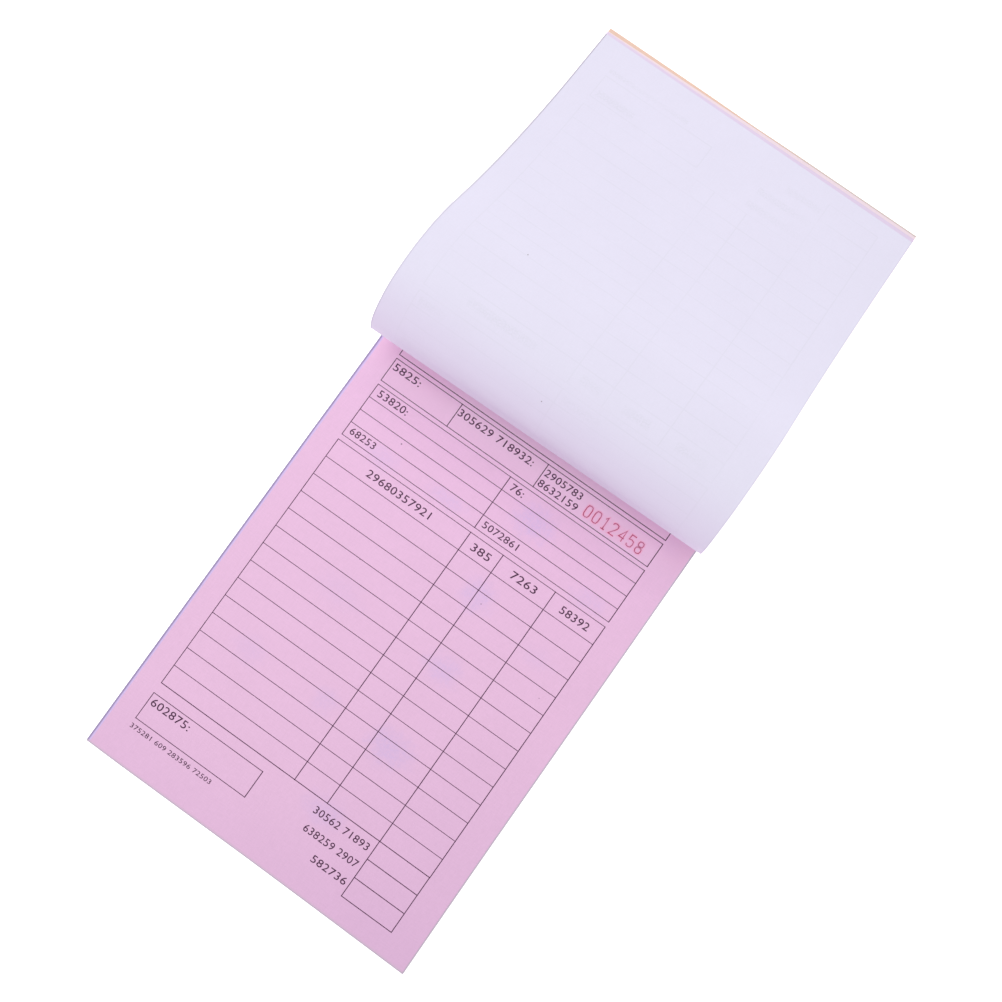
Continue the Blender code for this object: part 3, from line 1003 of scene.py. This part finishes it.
def tangent_polygon():
    """Polygon whose rounded corners pass the fold lines: part outside and part inside of them."""
    poly = HINGE.copy()
    for _ in range(80):
        half = reach(poly)
        for j in range(1, COUNT):
            share = 0.40 if FOLD[j] > 0 else 0.60
            a = poly[j] + half[j] * unit(poly[j - 1] - poly[j])
            b = poly[j] + half[j] * unit(poly[j + 1] - poly[j])
            now = poly[j] + share * 0.5 * ((a + b) / 2 - poly[j])
            poly[j] += HINGE[j] - now
    return poly, reach(poly)


POLY, HALF = tangent_polygon()


def centre_line():
    """Points of the bundle's middle line from the head to the free edge, with the index where each strip begins."""
    head = np.array([HALF_L, HINGE[0][1]])
    before = [head] + list(POLY[:-1])
    pts, cuts = [], [0]
    for y in even(0.0, 1.0, 4)[:-1]:
        pts.append(head + y * (POLY[0] + np.array([HALF[0], 0.0]) - head))
    for j in range(COUNT):
        corner, back, ahead = POLY[j], before[j], POLY[j + 1]
        a = corner + HALF[j] * unit(back - corner)
        b = corner + HALF[j] * unit(ahead - corner)
        n = 8 if j == 0 else max(12, int(abs(FOLD[j]) / 2.2))
        for i in range(n + 1):
            t = i / n
            pts.append((1 - t) ** 2 * a + 2 * t * (1 - t) * corner + t * t * b)
        following = POLY[j + 1] + HALF[j + 1] * unit(corner - POLY[j + 1]) if j + 1 < COUNT else POLY[-1]
        run = np.linalg.norm(following - b)
        m = max(2, 2 * int(run / 8.0))
        for i in range(1, m):
            pts.append(b + (following - b) * i / m)
            if j + 1 < COUNT and i == m // 2:
                cuts.append(len(pts) - 1)
    pts.append(POLY[-1].copy())
    cuts.append(len(pts) - 1)
    return np.array(pts), cuts


def bend_ends(k):
    """Where the bend round fold line k begins and ends."""
    back = np.array([1.0, 0.0]) if k == 0 else unit(HINGE[k - 1] - HINGE[k])
    return HINGE[k] + HALF[k] * back, HINGE[k] + HALF[k] * unit(HINGE[k + 1] - HINGE[k])


def laid_flat(point, k):
    """Where a point of the bend round fold line k comes to lie when the book is shut."""
    a, b = bend_ends(k)
    t = min(1.0, max(0.0, (point - a) @ (b - a) / ((b - a) @ (b - a))))
    turns = [(HINGE[k], t * t * (3.0 - 2.0 * t) * FOLD[k])] + [(HINGE[j], FOLD[j]) for j in range(k - 1, -1, -1)]
    for centre, degrees in turns:
        c, s = math.cos(math.radians(degrees)), math.sin(math.radians(degrees))
        d = point - centre
        point = centre + np.array([c * d[0] - s * d[1], s * d[0] + c * d[1]])
    return point


def along(line):
    tangent = np.gradient(line, axis=0)
    tangent /= np.linalg.norm(tangent, axis=1)[:, None]
    way = np.concatenate([[0.0], np.cumsum(np.linalg.norm(np.diff(line, axis=0), axis=1))]) - STUB_L
    return tangent, np.stack([-tangent[:, 1], tangent[:, 0]], 1), way


def eased(line, cuts, part=0.35):
    """The line with part of what keeps its front bend from lying flat taken out."""
    tangent, normal, way = along(line)
    out = line.copy()
    for i in range(cuts[1], cuts[3] + 1):
        t = min(1.0, max(0.0, min((way[i] - 13.0) / 10.0, (44.0 - way[i]) / 11.0)))
        rise = laid_flat(line[i], 1 if i < cuts[2] else 2)[1] - HINGE[0][1]
        out[i] += normal[i] * part * t * t * (3.0 - 2.0 * t) * rise
    return out


LINE, CUTS = centre_line()
LINE = eased(LINE, CUTS)
TANGENT, NORMAL, WAY = along(LINE)


# how far the middle line stands above the fold lines, and above the page, when the book is shut
RISE = np.array([laid_flat(LINE[i], max(k for k in range(COUNT) if CUTS[k] <= i))[1] for i in range(len(LINE))]) - HINGE[0][1]


def ramp(value, low, high):
    t = min(1.0, max(0.0, (value - low) / (high - low)))
    return t * t * (3.0 - 2.0 * t)


def card_place(s, rise):
    """The stiff cover stands off the leaves inside the loop, and lies almost flat when the book is shut."""
    loose = ramp(s, 2.0, 15.0) * (0.25 + 0.75 * ramp(s, 130.0, 95.0))
    flat = ramp(s, 2.0, 10.0) * (0.30 + 0.22 * ramp(s, 150.0, 95.0))
    return -0.56 * loose + flat * rise


def skew(x, s):
    """The loop stands a little further forward on the left than on the right."""
    bump = math.exp(-((s - 31.5) / 6.5) ** 2)
    return bump * (0.22 - 0.62 * x / HALF_W)


# leaves from the outside of the loop in: name, distance from the middle line, thickness,
# free edge past the middle line's end at left, middle and right, materials outside and inside
LEAVES = (
    ("white_copy_2", 0.45, 0.10, (0.58, 0.12, -0.45), "white_paper_back", "white_paper", "white_paper"),
    ("pink_copy_1", 0.15, 0.10, (1.85, 1.62, 1.40), "pink_paper_back", "pink_paper", "pink_paper"),
    ("white_copy_1", -0.15, 0.10, (2.50, 3.05, 2.75), "white_paper_warm", "white_paper", "white_paper"),
    ("front_cover", -0.54, 0.28, (4.45, 4.12, 3.62), "cover_card", "cover_print", "cover_card"),
)
ACROSS = 28


def side_to_side(x, s):
    """The turned leaves lie a little to the right of the pad and draw in towards the far left corner."""
    left = -HALF_W - 0.1 + 0.3 * ramp(s, 75.0, 110.0) + 0.45 * max(0.0, (s - 90.0) / 120.0) ** 2
    left += 0.28 * math.exp(-((s - 35.0) / 14.0) ** 2)
    right = HALF_W + 0.33 * min(1.0, max(0.0, (s - 4.0) / 16.0))
    return left + (x + HALF_W) / (2 * HALF_W) * (right - left)


def leaf_strip(leaf, k):
    """The stretch of a leaf round fold line k, as a closed thin strip."""
    name, mid, thick, ends, out_mat, in_mat, slot = leaf
    first, last = CUTS[k], CUTS[k + 1]
    xs = even(-HALF_W, HALF_W, ACROSS)
    bm = bmesh.new()
    uv = bm.loops.layers.uv.new("leaf")
    rows = list(range(first, last + 1))
    final = k == COUNT - 1
    grid = {}
    for r, idx in enumerate(rows):
        for i, x in enumerate(xs):
            stretch = 0.0
            if final:
                # the last stretch runs on to the leaf's own free edge
                t = x / HALF_W
                end = ends[1] + t * (ends[2] - ends[0]) / 2 + t * t * ((ends[0] + ends[2]) / 2 - ends[1])
                if name == "front_cover":
                    # the card is worn back a little near the middle of its edge
                    end -= 0.22 * math.exp(-((x + 4.0) / 14.0) ** 2)
                part = (WAY[idx] - WAY[first]) / (WAY[last] - WAY[first])
                stretch = end * part
            for side in (0, 1):
                off = mid + (thick / 2 if side == 0 else -thick / 2)
                off += card_place(WAY[idx], RISE[idx]) if name == "front_cover" else skew(x, WAY[idx])
                y, z = LINE[idx] + NORMAL[idx] * off + TANGENT[idx] * stretch
                z = max(z, 0.03 + (thick if side == 0 else 0.0))
                at = side_to_side(x, WAY[idx])
                place = (x / 100.0, (WAY[idx] + stretch) / 100.0)
                grid[(i, r, side)] = (bm.verts.new((at * MM, y * MM, z * MM)), place)

    def face(keys, mat):
        ring = [grid[key] for key in keys]
        f = bm.faces.new([c[0] for c in ring])
        f.material_index = mat
        for loop, c in zip(f.loops, ring):
            loop[uv].uv = c[1]

    n, m = len(rows) - 1, ACROSS
    for r in range(n):
        for i in range(m):
            face([(i, r, 0), (i + 1, r, 0), (i + 1, r + 1, 0), (i, r + 1, 0)], 0)
            face([(i, r, 1), (i, r + 1, 1), (i + 1, r + 1, 1), (i + 1, r, 1)], 1)
        face([(0, r, 0), (0, r + 1, 0), (0, r + 1, 1), (0, r, 1)], 1)
        face([(m, r, 0), (m, r, 1), (m, r + 1, 1), (m, r + 1, 0)], 1)
    for i in range(m):
        face([(i, 0, 0), (i, 0, 1), (i + 1, 0, 1), (i + 1, 0, 0)], 1)
        face([(i, n, 0), (i + 1, n, 0), (i + 1, n, 1), (i, n, 1)], 1)
    bmesh.ops.recalc_face_normals(bm, faces=bm.faces[:])
    obj = finish_mesh("%s_bend_%d" % (name, k + 1), bm, [out_mat, in_mat], 50)
    a, b = bend_ends(k)
    a[0] * MM
    a[1] * MM
    b[0] * MM
    b[1] * MM
    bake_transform(obj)
    nodes = ["%s_panel_%d" % (name, k + 1)] + ([name + "_stub"] if k == 0 else [])
    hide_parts(*nodes)


def floor():
    data = bpy.data.meshes.new("floor")
    bm = bmesh.new()
    bmesh.ops.create_grid(bm, x_segments=1, y_segments=1, size=3.0)
    bm.to_mesh(data)
    bm.free()
    paint = Paint("pale_floor", 0.9, specular=0.0)
    paint.shader.inputs["Base Color"].default_value = (0.92, 0.92, 0.92, 1.0)
    paint.shader.inputs["Emission Color"].default_value = (1.0, 1.0, 1.0, 1.0)
    paint.shader.inputs["Emission Strength"].default_value = FLOOR_GLOW
    data.materials.append(paint.mat)
    obj = bpy.data.objects.new("floor", data)
    obj.location = (0.0, 0.0, -0.0002)
    bpy.context.scene.collection.objects.link(obj)


camera()
lights()
floor()
pad()
for leaf in LEAVES:
    for k in range(COUNT):
        leaf_strip(leaf, k)
